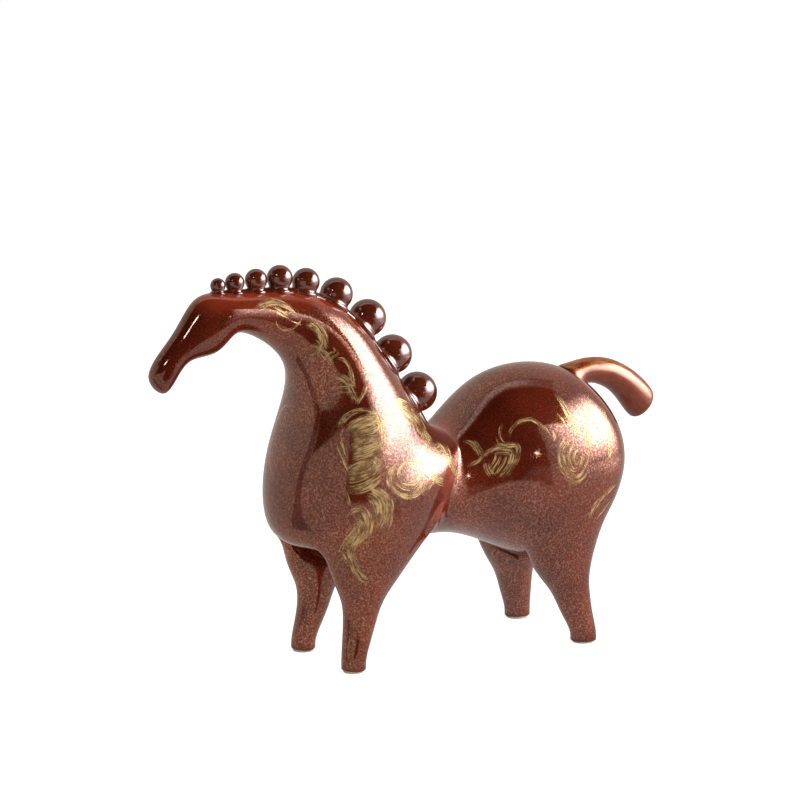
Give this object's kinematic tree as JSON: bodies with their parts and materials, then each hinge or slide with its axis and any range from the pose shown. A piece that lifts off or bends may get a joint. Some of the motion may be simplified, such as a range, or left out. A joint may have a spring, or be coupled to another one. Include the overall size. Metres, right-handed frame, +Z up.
{
  "type": "horse figurine",
  "caption": "Glazed ceramic horse statuette with two round barrels, four short legs, an arched neck, a mane of rolled beads and a stub tail.",
  "frame": {"origin": "on the floor under the middle of the figure's bounding box", "axes": "+Z up, -X towards the head, +X towards the tail, -Y on the figure's left flank"},
  "size_m": [0.2738, 0.0808, 0.1893],
  "materials": {
    "red_glaze": "glossy iron-red glaze with fine grey speckle",
    "dark_glaze": "glossy dark brown glaze",
    "dusted_glaze": "glossy brown glaze dusted with gold",
    "gold_lustre": "satin brushed lustre",
    "bare_clay": "matt unglazed clay"
  },
  "bodies": {
    "root": {"head": "dark_glaze", "neck": "red_glaze", "fore_barrel": "red_glaze", "hind_barrel": "red_glaze", "fore_leg_left": "red_glaze", "fore_leg_right": "red_glaze", "hind_leg_left": "red_glaze", "hind_leg_right": "red_glaze", "tail": "dusted_glaze", "mane_bead_1": "dark_glaze", "mane_bead_2": "dark_glaze", "mane_bead_3": "dark_glaze", "mane_bead_4": "dark_glaze", "mane_bead_5": "dark_glaze", "mane_bead_6": "dark_glaze", "mane_bead_7": "dark_glaze", "mane_bead_8": "dark_glaze", "mane_bead_9": "dark_glaze"}
  },
  "joints": []
}
